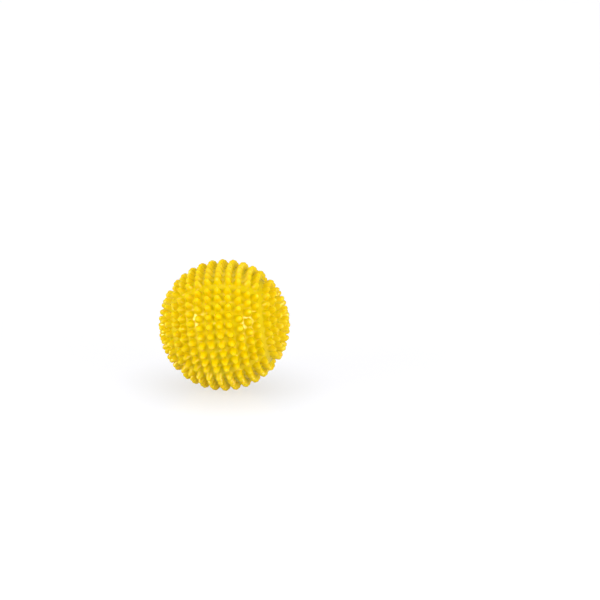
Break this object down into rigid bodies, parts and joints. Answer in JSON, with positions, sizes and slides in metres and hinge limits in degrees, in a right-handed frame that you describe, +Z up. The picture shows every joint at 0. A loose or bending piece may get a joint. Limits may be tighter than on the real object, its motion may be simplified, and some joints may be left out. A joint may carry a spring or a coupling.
{
  "type": "spiky massage ball",
  "caption": "Hard glossy plastic massage ball covered in blunt cone spikes, made of two half shells joined at the equator with disc magnets inside.",
  "frame": {"origin": "centre of the ball", "axes": "+X along the polar axis of both half shells, towards the right one's pole spike; the joint is the plane x = 0; +Z up with the ball resting on four spikes, two on each side of the joint"},
  "size_m": [0.055, 0.0548, 0.0548],
  "materials": {
    "shell_plastic": "opaque warm yellow, moulded, high gloss",
    "magnet_ferrite": "ground dark grey ferrite"
  },
  "bodies": {
    "root": {"right_shell": "shell_plastic", "left_shell": "shell_plastic", "right_pole_magnet": "magnet_ferrite", "right_side_magnet_1": "magnet_ferrite", "right_side_magnet_2": "magnet_ferrite", "right_side_magnet_3": "magnet_ferrite", "right_side_magnet_4": "magnet_ferrite", "left_pole_magnet": "magnet_ferrite", "left_side_magnet_1": "magnet_ferrite", "left_side_magnet_2": "magnet_ferrite", "left_side_magnet_3": "magnet_ferrite", "left_side_magnet_4": "magnet_ferrite"}
  },
  "joints": []
}
